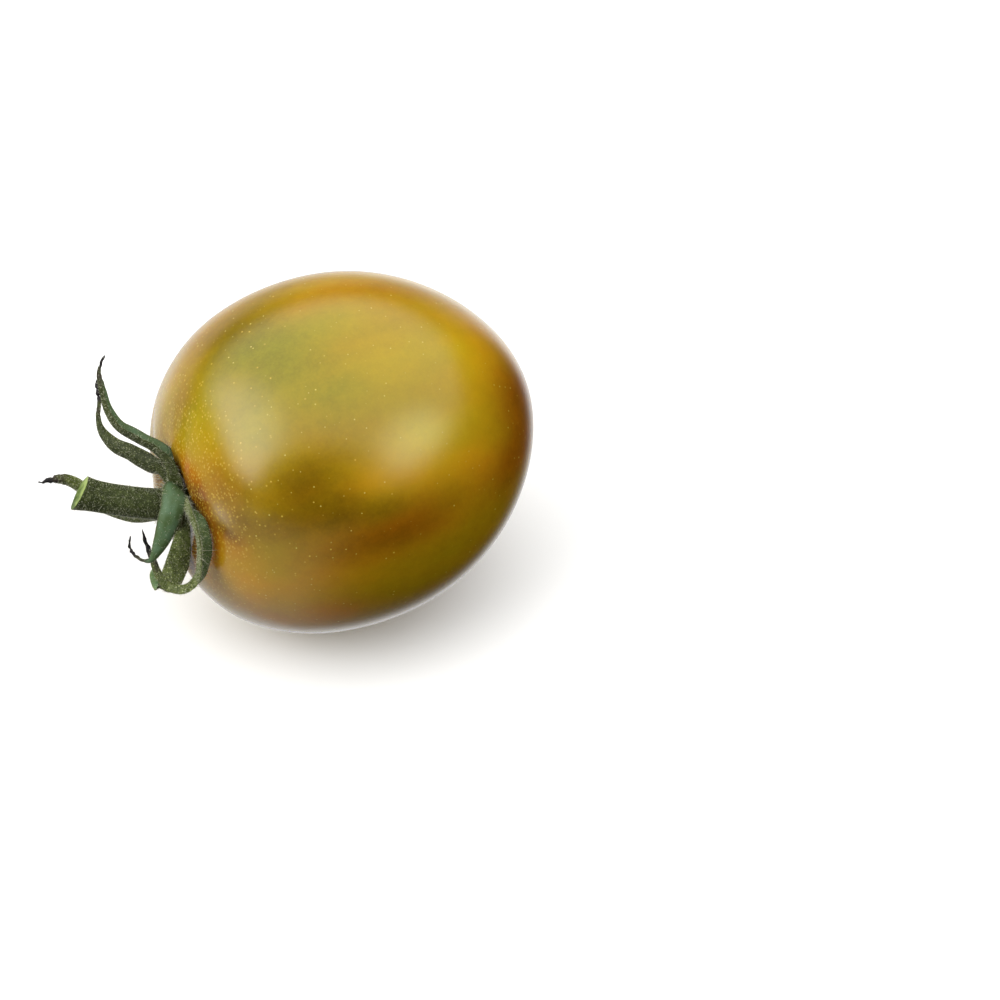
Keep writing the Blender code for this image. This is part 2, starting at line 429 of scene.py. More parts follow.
class Patch(NamedTuple):
    """A soft patch: where along the fruit, at which angle round it, its half sizes and what it adds."""

    along: float
    around: float
    length: float
    width: float
    ripe: float
    light: float

    def weight(self, along, around):
        """One at the middle of the patch, fading to none outside it."""
        along_off = (along - self.along) / self.length
        around_off = turned(around, self.around) / self.width
        return math.exp(-along_off ** 2 - around_off ** 2)


PATCHES = (
    # Along the top
    Patch(-7.0, 63, 5.0, 8, -0.04, -0.42),
    Patch(3.0, 64, 8.0, 9, -0.05, 0.22),
    Patch(-6.0, 73, 4.0, 5, 0.0, -0.20),
    Patch(2.0, 74, 7.0, 8, 0.18, 0.02),
    Patch(-9.0, 76, 3.0, 8, -0.20, -0.28),
    Patch(-8.5, 82, 2.2, 7, -0.14, 0.0),
    Patch(6.0, 82, 4.0, 8, 0.10, 0.12),
    Patch(-1.0, 88, 4.5, 9, -0.28, -0.10),
    Patch(-6.5, 90, 3.6, 15, -0.48, -0.38),
    Patch(-8.0, 102, 4.0, 12, -0.18, -0.12),
    Patch(4.5, 108, 6.5, 14, -0.24, 0.18),
    Patch(-10.9, 112, 2.4, 12, -0.30, -0.10),
    Patch(-3.6, 112, 4.2, 11, -0.28, -0.22),
    # Across the front
    Patch(1.5, 129, 4.5, 10, -0.18, 0.0),
    Patch(8.0, 130, 3.5, 13, 0.0, 0.24),
    Patch(-6.9, 133, 2.6, 7, 0.0, -0.20),
    Patch(2.2, 137, 4.0, 8, -0.20, 0.42),
    Patch(-9.0, 138, 2.2, 8, 0.12, -0.40),
    Patch(-3.6, 143, 2.2, 5, 0.08, 0.44),
    Patch(-5.8, 145, 2.2, 6, 0.10, -0.28),
    Patch(0.0, 147, 3.0, 7, 0.10, 0.34),
    Patch(4.0, 148, 4.5, 6, 0.05, 0.34),
    Patch(-10.9, 151, 3.2, 8, 0.10, -0.38),
    Patch(-6.6, 152, 2.2, 5, 0.06, -0.36),
    Patch(-3.0, 153, 2.2, 4, -0.06, -0.36),
    Patch(6.5, 154, 2.5, 7, 0.15, 0.25),
    Patch(-0.5, 162, 4.0, 8, 0.24, -0.08),
    Patch(-5.0, 163, 5.0, 7, 0.22, -0.30),
    # Low on the front
    Patch(-8.5, 174, 4.0, 9, 0.19, 0.24),
    Patch(-11.5, 186, 4.0, 12, 0.08, 0.28),
    Patch(-7.5, 192, 3.0, 9, 0.26, 0.12),
    Patch(-11.0, 205, 5.0, 12, 0.20, 0.30),
    # Round the shoulder
    Patch(-13.7, 45, 2.6, 24, -0.10, 0.20),
    Patch(-13.4, 72, 1.2, 9, 0.16, -0.15),
    Patch(-12.6, 86, 2.6, 13, -0.28, -0.12),
    Patch(-14.0, 105, 1.8, 22, 0.02, 0.26),
    Patch(-13.6, 133, 1.5, 8, 0.05, -0.20),
    Patch(-12.4, 160, 1.8, 6, -0.10, -0.02),
    Patch(-14.6, 160, 1.6, 9, 0.20, 0.12),
    Patch(-12.4, 172, 1.5, 6, -0.14, -0.10),
    Patch(-14.4, 178, 1.2, 12, 0.10, 0.30),
    # Towards the blossom end
    Patch(11.2, 98, 3.5, 16, 0.20, 0.42),
    Patch(10.5, 119, 3.5, 15, 0.0, 0.30),
    Patch(13.4, 138, 3.2, 28, 0.38, -0.42),
    Patch(10.5, 164, 3.5, 12, 0.40, -0.20),
)

SKIN_STOPS = (
    (0.0, (0.28, 0.246, 0.006)),
    (0.25, (0.28, 0.213, 0.004)),
    (0.5, (0.28, 0.180, 0.003)),
    (0.7, (0.28, 0.148, 0.003)),
    (0.85, (0.28, 0.122, 0.003)),
    (1.0, (0.28, 0.098, 0.002)),
)
# The colour of the painted highlight on the swelling by the stem
PAINTED_HIGHLIGHT = (0.30, 0.205, 0.10)
RIPE = 0.6
LIGHTNESS = 1.07
SKIN_ROUGHNESS = 0.21

RIPE_MOTTLES = (
    Mottle(6.0, 3.0, 0.45, True),
    Mottle(1.6, 2.0, 0.12, True),
)
LIGHT_MOTTLES = (
    Mottle(3.0, 2.0, 0.4, True),
    Mottle(1.2, 2.0, 0.2, False),
    Mottle(0.5, 2.0, 0.14, False),
    Mottle(0.2, 2.0, 0.22, False),
)
ROUGHNESS_MOTTLES = (
    Mottle(0.9, 2.0, 0.08, False),
)


class Specks(NamedTuple):
    """A kind of speck: the size of its cells in millimetres, its radius in cells, its strength and colour.

    Near and far are the shares of the cells that have one, near the stem and far off. A share below none
    keeps these specks to the stem's end.
    """

    size: float
    radius: float
    near: float
    far: float
    strength: float
    color: tuple


GOLD_SPECK = (0.60, 0.42, 0.06)
PALE_SPECK = (0.60, 0.50, 0.11)
SPECKS = (
    Specks(0.23, 0.47, 2.1, -0.65, 0.45, GOLD_SPECK),
    Specks(0.42, 0.21, 1.1, 0.0, 0.75, GOLD_SPECK),
    Specks(0.62, 0.12, 0.9, 0.6, 0.85, PALE_SPECK),
)

# How far the near specks reach from the stem, where a speck ends in its radii, and the least share of cells
SPECKLED_REACH = 9.5
SPECK_RIM = 1.2
FEWEST = 0.001

SKIN_VALUES = ("ripe", "light", "pale", "specks", "scar")


def skin_values_at(point):
    """What the skin's material reads at a point: its ripeness, lightness, paleness, specks and scar.
    The lightness holds painted shade beside the calyx and in the crease, and the paleness a painted
    highlight.
    """
    x, y, z = point
    around = math.degrees(math.atan2(z, y)) % 360
    weights = [patch.weight(x, around) for patch in PATCHES]
    ripe = sum(patch.ripe * weight for patch, weight in zip(PATCHES, weights))
    light = sum(patch.light * weight for patch, weight in zip(PATCHES, weights))
    pale = 0.0
    if x < 0:
        # Marks add a riper tone, painted shade beside the calyx and in the crease, and the swelling's
        # painted highlight
        for mark in MARKS:
            weight = mark.weight(y, z)
            ripe += mark.ripe * weight
            light += mark.light * weight
            pale += mark.pale * weight
        # Under the calyx's foot the skin is riper, and painted contact shade darkens it
        off = math.hypot(y - CONTACT[0], z - CONTACT[1]) / CONTACT_REACH
        under = math.exp(-off ** CONTACT_EDGE)
        ripe += CONTACT_RIPE * under
        light -= CONTACT_SHADE * under
    specks = math.exp(-((point - outward((0, 0, 0))).length / SPECKLED_REACH) ** 2)
    scar = math.hypot(y, z) if x > 0 else FRUIT_LENGTH
    return ripe, light, pale, specks, scar


def speckled(f, color):
    """A colour with fine specks over it, dense near the stem and sparse far off."""
    for kind in SPECKS:
        distance, chance = f.cells(kind.size)
        wanted = f.math("ADD", f.math("MULTIPLY", f.value("specks"), kind.near - kind.far), kind.far)
        shown = f.fade(chance, f.math("MAXIMUM", wanted, FEWEST), 0.0)
        dot = f.without(f.fade(distance, kind.radius * DOT_CORE, kind.radius * SPECK_RIM))
        color = f.mix(f.math("MULTIPLY", dot, f.math("MULTIPLY", shown, kind.strength)), color, kind.color)
    return color


def skin_finish():
    """Glossy skin, mottled lengthwise from olive through gold to orange-brown, with fine pale specks."""
    f = Finish("fruit_skin")
    ripe = mottled(f, f.math("ADD", f.value("ripe"), RIPE), RIPE_MOTTLES)
    # The lightness carries the painted shade beside the calyx and in the crease
    light = mottled(f, f.math("ADD", f.value("light"), LIGHTNESS), LIGHT_MOTTLES)
    color = f.scaled(f.ramp(ripe, SKIN_STOPS), light)
    # The pale mix is a painted highlight, on the swelling
    color = speckled(f, f.mix(f.value("pale"), color, PAINTED_HIGHLIGHT))
    corky = f.without(f.fade(f.value("scar"), SCAR_CORE, SCAR_RADIUS))
    f.set("Base Color", f.mix(corky, color, SCAR_COLOR))
    f.set("Roughness", mottled(f, SKIN_ROUGHNESS, ROUGHNESS_MOTTLES))
    f.set("Specular IOR Level", 0.4)
    f.set("Subsurface Weight", 0.2)
    f.set("Subsurface Radius", (1.0, 0.5, 0.1))
    f.set("Subsurface Scale", 2.0 * MM)
    f.relief(f.noise(0.5, 1.0), 0.006)
    return f.material


def build_fruit():
    """The fruit's skin, finer than the solid, with puckers round the stem and a scar at the other end."""
    rings = [[skin_point(0, 0)]]
    for i in range(1, FRUIT_RINGS):
        turn = math.pi * i / FRUIT_RINGS
        rings.append([skin_point(turn, 2 * math.pi * j / FRUIT_SIDES) for j in range(FRUIT_SIDES)])
    rings.append([skin_point(math.pi, 0)])
    skin = new_object("fruit_skin", loft(rings), skin_finish())
    middle = to_part((0, 0, 0))
    rows = [skin_values_at((v.co - middle) / MM) for v in skin.data.vertices]
    for name, values in zip(SKIN_VALUES, zip(*rows)):
        write_values(skin.data, name, values)
    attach(skin, "root")
    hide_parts("fruit")


# The calyx and the stem: the solids' main forms, with the fine ones that the solids leave out

# The boss that the sepals grow from, as (how far out, radius)
BOSS_RINGS = (
    (-0.3, 0.8),
    (0.2, 1.1),
    (0.6, 1.35),
    (0.9, 1.8),
    (1.2, 2.2),
    (1.6, 2.15),
    (1.95, 1.8),
    (2.3, 1.4),
)
BOSS_SIDES = 48

STEM_RADIUS = 1.28
STEM_FOOT = 1.32
STEM_END = 1.5
STEM_SLANT = math.radians(15)
SHORT_SIDE = math.radians(45)
SLANT_FROM = 0.6
FOOT_FLARE = 6
END_FLARE = 8
STEM_STATIONS = 90
STEM_SIDES = 72
STEM_SUNK = 0.7
SUNK_RADIUS = STEM_FOOT * 0.9
STEM_SHARP = math.radians(40)
RIDGES = 7
RIDGE_HEIGHT = 0.035
RIDGE_TWIST = 1.5

STEM_LINE = (
    (2.4, 0.25, 0.25),
    (3.4, 0.6, 0.5),
    (4.8, 1.35, 0.75),
    (6.4, 2.3, 1.05),
    (8.4, 3.3, 1.75),
)

# The cut face, slightly dished, as (share of the radius, height)
CUT_RINGS = (
    (0.96, 0.03),
    (0.85, 0.02),
    (0.68, 0.04),
    (0.6, 0.05),
    (0.5, -0.02),
    (0.3, -0.07),
    (0.12, -0.08),
)

SEPAL_STATIONS = 110
HALF_SIDES = 14
SEPAL_SHARP = math.radians(50)

# Shares of a sepal's length: where its width has turned, over which it dries, and what is drawn to a point
TURNED_BY = 0.35
DRYING = 0.18
POINTED_SHARE = 0.04

# The blade's thickness, at most so many half widths, and its edge's, at most such a share of that
SEPAL_THICKNESS = 0.42
THICKEST = 1.7
MIDDLE_FULLNESS = 2.4
EDGE_THICKNESS = 0.12
THICKEST_EDGE = 0.8
EDGE_FULLNESS = 8
EDGE_FADE = 5
FOLD_ROUNDING = 0.03
FOLD_LIFT = 0.5
RIB_HEIGHT = 0.1
RIB_WIDTH = 0.16

# How uneven a blade is, and in how many waves: rippled all along, shrivelled and wiggly only where dry
RIPPLE = 0.16
RIPPLE_WAVES = 9
RIPPLE_ROW = 3.1
SHRIVEL = 0.7
SHRIVEL_WAVES = 50
WIGGLE = 0.12
WIGGLE_WAVES = 40
WIGGLE_LAYER = 5.0


class Sepal(NamedTuple):
    """A sepal: the points of its line, how its blade lies and folds, and how dry, pale and smooth it is.

    A point of the line is (out, back, up, width). The width lies the first way of across at the root and the
    second way beyond. The fold raises the edges. Dry is the share of the length that is all dry, up to the
    tip. Pale is painted light, which makes a leaf that lies in shade lighter, and smooth gives the inner
    face its smoother look.
    """

    line: tuple
    across: tuple
    fold: float
    dry: float
    pale: float = 0.0
    smooth: float = 1.0


# The pale values below are painted light, for sepals that lie in shade
SEPALS = {
    "upper_back": Sepal(
        ((1.2, 0.1, 1.2, 1.4), (1.1, 0.1, 2.9, 1.9), (1.2, 0.9, 4.4, 1.8), (1.7, 2.2, 5.0, 1.6),
         (2.7, 3.6, 5.4, 1.45), (3.7, 5.0, 5.9, 1.25), (4.0, 6.4, 6.6, 1.0), (3.8, 7.8, 7.5, 0.7),
         (3.5, 9.1, 8.7, 0.3), (2.6, 9.6, 9.9, 0.15)),
        across=((0, -0.89, 0.45), (0.58, -0.63, 0.52)), fold=1.0, dry=0.06, smooth=0.75,
    ),
    "upper_front": Sepal(
        ((1.1, 0.3, 0.7, 1.3), (1.35, 2.0, 2.05, 1.7), (2.1, 3.1, 2.3, 1.9), (3.0, 4.6, 2.6, 1.6),
         (3.9, 6.1, 2.7, 1.4), (4.3, 7.4, 3.1, 1.0), (4.1, 8.6, 3.7, 0.5), (3.5, 9.6, 4.4, 0.36),
         (2.9, 11.3, 5.3, 0.4)),
        across=((0, -0.6, 0.78), (-0.48, -0.03, 0.85)), fold=0.35, dry=0.12,
    ),
    "behind_stem": Sepal(
        ((1.1, 0.6, -0.4, 1.3), (1.8, 1.4, -1.7, 1.6), (2.8, 2.3, -2.4, 1.9), (4.2, 3.3, -2.7, 2.0),
         (5.7, 4.8, -2.4, 1.8), (6.6, 6.0, -1.8, 1.3), (7.3, 7.0, -1.2, 1.05), (8.2, 7.5, -0.7, 0.9),
         (9.1, 7.6, -0.5, 0.5), (10.4, 7.6, -0.2, 0.1)),
        across=((0, 0.76, 0.43), (-0.2, 0.5, 0.85)), fold=0.6, dry=0.08, pale=0.6,
    ),
    "front": Sepal(
        ((1.1, -0.3, 1.0, 1.7), (1.3, -0.8, 2.6, 2.2), (1.9, -1.6, 2.8, 2.3), (2.5, -2.3, 2.3, 2.1),
         (3.2, -2.8, 1.5, 1.85), (3.9, -3.2, 0.4, 1.5), (4.6, -3.4, -0.7, 1.0), (5.2, -3.4, -1.6, 0.5),
         (5.7, -2.9, -1.9, 0.3), (6.1, -2.0, -1.9, 0.28), (6.1, -1.1, -1.5, 0.22), (5.7, -0.7, -0.9, 0.12)),
        across=((0, -0.95, -0.3), (-0.72, -0.66, -0.22)), fold=-0.25, dry=0.14,
    ),
    "lower_middle": Sepal(
        ((1.1, -0.4, 0.2, 1.3), (1.2, -1.5, -0.2, 1.4), (1.5, -2.0, -1.0, 1.4), (2.0, -2.5, -2.4, 1.7),
         (2.6, -2.8, -4.0, 2.0), (3.3, -2.8, -5.7, 1.9), (3.9, -2.4, -6.6, 1.5), (4.2, -1.6, -6.2, 0.9),
         (4.1, -1.1, -5.6, 0.4)),
        across=((0, 0.65, -0.75), (0.66, 0.72, 0.2)), fold=0.05, dry=-0.2, pale=0.75, smooth=0.6,
    ),
    "lower_loop": Sepal(
        ((1.1, -0.8, 0.9, 1.2), (1.3, -3.0, 2.5, 1.4), (1.6, -4.8, 3.0, 1.6), (1.7, -6.0, 2.0, 1.6),
         (1.8, -6.4, 0.9, 1.6), (2.0, -6.6, -0.5, 1.5), (2.3, -6.5, -2.2, 1.3), (3.2, -6.0, -3.6, 1.0),
         (4.1, -5.0, -4.0, 0.9), (4.6, -4.0, -3.6, 0.85), (4.7, -3.1, -3.0, 0.7), (4.7, -2.4, -2.3, 0.5),
         (4.8, -1.8, -1.6, 0.35), (4.8, -1.0, -0.3, 0.12)),
        across=((0, -0.33, -0.94), (-0.8, 0.52, -0.27)), fold=0.95, dry=0.09, pale=0.5, smooth=0.45,
    ),
}


def pointed(share):
    """Draws the last of a sepal's length in to a point."""
    over = max(0.0, share - 1 + POINTED_SHARE) / POINTED_SHARE
    return math.sqrt(max(0.0, 1 - over ** 2))


class Leafy(NamedTuple):
    """A point's place along and across a sepal, how smooth and dry it is there, how much painted light
    lightens it, and the heading.
    """

    share: float
    across: float
    smooth: float
    dry: float
    pale: float
    heading: Vector


def lying(sepal, share):
    """The way a sepal's width lies: along the skin at its root, then turned to its blade's way."""
    root, blade = (Vector((-out, back, up)) for out, back, up in sepal.across)
    return root.lerp(blade, min(1.0, share / TURNED_BY))


def dryness(sepal, share):
    """How dry a sepal is this far along: not at all, then more and more, then all dry."""
    return min(1.0, max(0.0, (share - 1 + sepal.dry) / DRYING + 1))


def sepal_lift(wide, upper, half, fold):
    """How far a face of the blade stands from its middle plane: lens, rib or groove, and fold."""
    middle = min(SEPAL_THICKNESS, half * THICKEST)
    edge = min(EDGE_THICKNESS, middle * THICKEST_EDGE)
    lens = edge + (middle - edge) * (1 - abs(wide) ** MIDDLE_FULLNESS)
    lift = upper * lens / 2 * math.sqrt(max(0.0, 1 - abs(wide) ** EDGE_FULLNESS))
    rib = RIB_HEIGHT * min(1.0, half) * math.exp(-(wide / RIB_WIDTH) ** 2)
    return lift - rib + fold * half * (math.sqrt(wide ** 2 + FOLD_ROUNDING) - FOLD_LIFT)


def sepal_rings(sepal, key):
    """A sepal's rings of points, and what is known of each point."""
    stations = smooth_line([outward(p) for p in sepal.line], SEPAL_STATIONS)
    line = [station.to_3d() for station in stations]
    rings, known = [], []
    for i, (centre, heading) in enumerate(zip(line, headings(line))):
        share = i / (SEPAL_STATIONS - 1)
        side = crossways(lying(sepal, share), heading)
        face = heading.cross(side)
        dry = dryness(sepal, share)
        lumps = 1 + SHRIVEL * dry ** 2 * noise.noise(Vector((share * SHRIVEL_WAVES, key, 0)))
        half = stations[i].w / 2 * pointed(share) * lumps
        stray = noise.noise_vector(Vector((share * WIGGLE_WAVES, key, WIGGLE_LAYER)))
        centre = centre + stray * WIGGLE * dry
        ring, notes = [], []
        for j in range(2 * HALF_SIDES):
            angle = math.pi * (j + 0.5) / HALF_SIDES
            wide = math.cos(angle)
            upper = 1 if math.sin(angle) > 0 else -1
            ripple = noise.noise(Vector((share * RIPPLE_WAVES, key * RIPPLE_ROW, math.copysign(1, wide))))
            lift = sepal_lift(wide, upper, half, sepal.fold) + RIPPLE * half * ripple * wide ** 2
            ring.append(centre + side * half * wide + face * lift)
            smooth = sepal.smooth * min(1.0, (1 - abs(wide)) * EDGE_FADE) if upper > 0 else 0.0
            notes.append(Leafy(share, abs(wide), smooth, dry, sepal.pale, heading))
        rings.append(ring)
        known.append(notes)
    rings.append([line[-1]])
    known.append([Leafy(share=1.0, across=0.0, smooth=0.0, dry=1.0, pale=0.0, heading=Vector((0, 0, 0)))])
    return rings, known


def ring_about(centre, axis, radius, sides, slant=0.0):
    """A ring of points about an axis, its first point uppermost, drawn back on one side by the slant."""
    up = crossways(Vector((0, 0, 1)), axis)
    beside = axis.cross(up)
    ring = []
    for i in range(sides):
        angle = 2 * math.pi * i / sides
        outer = up * math.cos(angle) + beside * math.sin(angle)
        ring.append(centre + (outer - axis * slant * math.cos(angle - SHORT_SIDE)) * radius)
    return ring


def boss_rings():
    """The boss leans from the fruit's axis over to the foot of the stem."""
    foot = outward(STEM_LINE[0])
    tilt = (outward(STEM_LINE[1]) - foot).normalized()
    straight = Vector((-1, 0, 0))
    lowest, highest = BOSS_RINGS[0][0], BOSS_RINGS[-1][0]
    rings = []
    for out, radius in BOSS_RINGS:
        share = (out - lowest) / (highest - lowest)
        low = outward((out, 0, 0))
        high = foot - tilt * (highest - out)
        rings.append(ring_about(low.lerp(high, share), straight.slerp(tilt, share), radius, BOSS_SIDES))
    return rings


def join_all(body, pieces):
    """Makes one closed body of an object and a collection of pieces that are rooted in it."""
    union = body.modifiers.new("join", "BOOLEAN")
    union.operation = "UNION"
    union.operand_type = "COLLECTION"
    union.collection = pieces
    union.solver = "EXACT"
    joined = body.evaluated_get(bpy.context.evaluated_depsgraph_get())
    data = bpy.data.meshes.new_from_object(joined)
    body.modifiers.clear()
    body.data = data
    for piece in list(pieces.objects):
        bpy.data.objects.remove(piece)
    bpy.data.collections.remove(pieces)


# Pale grains, as (size of their cells in millimetres, radius in cells, share of the cells that have one)
GRAINS = (
    (0.24, 0.3, 0.5),
    (0.14, 0.28, 0.35),
)
GRAIN_STRENGTH = 0.75

# Colours, from dark to light, the grains' last where there are grains
LEAF_OUTSIDE = ((0.024, 0.031, 0.006), (0.047, 0.058, 0.015), (0.30, 0.32, 0.16))
LEAF_INSIDE = ((0.055, 0.091, 0.029), (0.080, 0.136, 0.070))
BARK = ((0.021, 0.028, 0.006), (0.042, 0.053, 0.014), (0.20, 0.23, 0.10))
FLESH = ((0.05, 0.085, 0.015), (0.30, 0.38, 0.11))
BROWNED = (0.035, 0.028, 0.020)
BLACKENED = (0.010, 0.008, 0.009)
# How much painted light lightens a shaded sepal's outer and inner faces, for each unit of its paleness
PAINTED_LIGHT_OUTSIDE = 2.2
PAINTED_LIGHT_INSIDE = 1.5
FLESH_MOTTLES = (
    Mottle(0.4, 3.0, 2.5, False),
)


def grainy(f, dark, middle, pale):
    """Dark green with lighter blotches and fine pale grains."""
    color = f.mix(f.fade(f.noise(0.45, 3.0), 0.35, 0.65), dark, middle)
    for size, radius, wanted in GRAINS:
        distance, chance = f.cells(size)
        dot = f.without(f.fade(distance, radius * DOT_CORE, radius))
        shown = f.math("MULTIPLY", dot, f.math("LESS_THAN", chance, wanted))
        color = f.mix(f.math("MULTIPLY", shown, GRAIN_STRENGTH), color, pale)
    return color


def leaf_finish():
    """Matt green leaf: dark and grainy outside, smoother and bluer inside, with blackish dry tips, and
    lightened by painted light where a sepal is marked pale.
    """
    f = Finish("calyx_green")
    # Painted light: the outside and inside are lightened where a sepal is marked pale
    outside = f.scaled_by(grainy(f, *LEAF_OUTSIDE), "pale", PAINTED_LIGHT_OUTSIDE)
    inside = f.mix(f.fade(f.noise(1.1, 3.0), 0.3, 0.7), *LEAF_INSIDE)
    inside = f.scaled_by(inside, "pale", PAINTED_LIGHT_INSIDE)
    color = f.mix(f.value("smooth"), outside, inside)
    browned = f.math("MULTIPLY", f.fade(f.value("dry"), 0.1, 0.7), f.fade(f.noise(0.5), 0.25, 0.6))
    color = f.mix(browned, color, BROWNED)
    f.set("Base Color", f.mix(f.fade(f.value("dry"), 0.75, 1.0), color, BLACKENED))
    f.set("Roughness", 0.5)
    f.set("Specular IOR Level", 0.16)
    f.relief(f.noise(0.2), 0.02)
    return f.material


def known_nearby(data, points, known):
    """For each vertex of a mesh, what is known of the nearest of the points it was made from."""
    tree = KDTree(len(points))
    for i, point in enumerate(points):
        tree.insert(to_part(point), i)
    tree.balance()
    return [known[tree.find(v.co)[1]] for v in data.vertices]


def build_calyx():
    """The calyx: six thin curling sepals and the boss they grow from, joined in one body."""
    leaf = leaf_finish()
    calyx = new_object("calyx_leaves", loft(boss_rings()), leaf)
    points = [p for ring in boss_rings() for p in ring]
    # The boss is lightened by half as much painted light
    on_boss = Leafy(share=0.0, across=0.5, smooth=0.0, dry=0.0, pale=0.5, heading=Vector((-1, 0, 0)))
    known = [on_boss] * len(points)
    pieces = bpy.data.collections.new("sepals")
    noise.seed_set(SEED)
    for key, (name, sepal) in enumerate(SEPALS.items()):
        rings, notes = sepal_rings(sepal, key)
        pieces.objects.link(new_object("sepal_" + name, loft(rings), leaf))
        points += [p for ring in rings for p in ring]
        known += [n for ring in notes for n in ring]
    join_all(calyx, pieces)
    leafy = known_nearby(calyx.data, points, known)
    for name in ("smooth", "dry", "pale"):
        write_values(calyx.data, name, [getattr(n, name) for n in leafy])
    calyx.data.shade_smooth()
    calyx.data.set_sharp_from_angle(angle=SEPAL_SHARP)
    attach(calyx, "root")
    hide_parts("calyx")
    return calyx, leafy


def stem_radius(share):
    """The stem's radius along it: a little thicker at its foot and more so at its cut end."""
    foot = (STEM_FOOT - STEM_RADIUS) * (1 - share) ** FOOT_FLARE
    end = (STEM_END - STEM_RADIUS) * share ** END_FLARE
    return STEM_RADIUS + foot + end


def stem_finish():
    """Dark speckled green bark, and on the cut a pale lime face, lighter at the top and darker below:
    painted light and shade.
    """
    f = Finish("stem_green")
    # Painted light and shade: the cut is lighter towards its top, in blotches
    lit = mottled(f, f.value("top"), FLESH_MOTTLES)
    flesh = f.mix(f.fade(lit, -1.0, 1.2), *FLESH)
    f.set("Base Color", f.mix(f.fade(f.value("cut"), 0.1, 0.6), grainy(f, *BARK), flesh))
    f.set("Roughness", 0.55)
    f.set("Specular IOR Level", 0.12)
    f.relief(f.noise(0.2), 0.03)
    return f.material


def stalk_rings(line, ways):
    """The ridged stalk, from its sunk foot to the edge of its slanted cut."""
    rings = [ring_about(line[0] - ways[0] * STEM_SUNK, ways[0], SUNK_RADIUS, STEM_SIDES)]
    for i, (centre, heading) in enumerate(zip(line, ways)):
        share = i / (STEM_STATIONS - 1)
        slant = math.tan(STEM_SLANT) * max(0.0, share - SLANT_FROM) / (1 - SLANT_FROM)
        ring = ring_about(centre, heading, stem_radius(share), STEM_SIDES, slant)
        for j, point in enumerate(ring):
            angle = 2 * math.pi * j / STEM_SIDES
            height = RIDGE_HEIGHT * math.cos(RIDGES * angle + RIDGE_TWIST * share)
            ring[j] = point + (point - centre).normalized() * height
        rings.append(ring)
    return rings


def build_stem():
    """The stem: a ridged bent stalk, rooted in the boss, with a clean slanted cut."""
    line = smooth_line([outward(p) for p in STEM_LINE], STEM_STATIONS)
    ways = headings(line)
    rings = stalk_rings(line, ways)
    edge, centre, heading = rings[-1], line[-1], ways[-1]
    cut = [0.0] * STEM_SIDES * len(rings)
    top = [0.0] * len(cut)
    for share, height in CUT_RINGS:
        rings.append([centre + (p - centre) * share + heading * height for p in edge])
        cut += [1.0] * STEM_SIDES
        # How high each point lies on the cut, which the painted top light follows
        top += [share * math.cos(2 * math.pi * j / STEM_SIDES) for j in range(STEM_SIDES)]
    rings.append([centre + heading * CUT_RINGS[-1][1]])
    cut.append(1.0)
    top.append(0.0)
    stem = new_object("stem_stalk", loft(rings), stem_finish())
    write_values(stem.data, "cut", cut)
    write_values(stem.data, "top", top)
    stem.data.set_sharp_from_angle(angle=STEM_SHARP)
    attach(stem, "root")
    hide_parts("stem")
    return stem, cut


# Hairs, each a closed bent spike

HAIR_SIDES = 3
HAIR_STEPS = (0.0, 0.4, 0.75)
HAIR_TAPER = 0.6
HAIR_SUNK = 0.02
HAIR_COLORS = ((0.38, 0.40, 0.26), (0.72, 0.71, 0.55))
STRAY = 0.3
BEND = 0.2
THINNEST = 0.7
THICKNESS_RANGE = 0.6

# Lengths that stand in for none, where a division or a direction needs some
NO_LENGTH = 1e-9
NO_BEND = 1e-4


def scatter(data, count, weights, rng):
    """Random places on a mesh, thicker where its vertices weigh more: points, normals, nearest vertices."""
    data.calc_loop_triangles()
    corners = np.zeros(len(data.loop_triangles) * 3, np.int32)
    data.loop_triangles.foreach_get("vertices", corners)
    corners = corners.reshape(-1, 3)
    places = np.zeros(len(data.vertices) * 3, np.float32)
    data.vertices.foreach_get("co", places)
    places = places.reshape(-1, 3).astype(float)
    facing = np.array([v.normal for v in data.vertices])
    a, b, c = (places[corners[:, k]] for k in range(3))
    areas = np.linalg.norm(np.cross(b - a, c - a), axis=1)
    chance = areas * np.asarray(weights)[corners].mean(axis=1)
    picked = rng.choice(len(corners), size=count, p=chance / chance.sum())
    share = np.sqrt(rng.random(count))
    other = rng.random(count)
    mix = np.stack([1 - share, share * (1 - other), share * other], axis=1)
    points = (places[corners[picked]] * mix[:, :, None]).sum(axis=1)
    normals = (facing[corners[picked]] * mix[:, :, None]).sum(axis=1)
    normals /= np.linalg.norm(normals, axis=1)[:, None]
    nearest = corners[picked, mix.argmax(axis=1)]
    return points, normals, nearest


def unit(vectors):
    """Vectors brought to a length of one."""
    return vectors / np.maximum(np.linalg.norm(vectors, axis=1), NO_LENGTH)[:, None]


def hair_faces():
    """The triangles of one hair: its sides, its tip and its root."""
    faces = []
    for ring in range(len(HAIR_STEPS) - 1):
        for side in range(HAIR_SIDES):
            a = ring * HAIR_SIDES + side
            b = ring * HAIR_SIDES + (side + 1) % HAIR_SIDES
            faces.append((a, b, b + HAIR_SIDES))
            faces.append((a, b + HAIR_SIDES, a + HAIR_SIDES))
    tip = len(HAIR_STEPS) * HAIR_SIDES
    for side in range(HAIR_SIDES):
        faces.append((tip - HAIR_SIDES + side, tip - HAIR_SIDES + (side + 1) % HAIR_SIDES, tip))
    faces.append((0, 2, 1))
    return faces


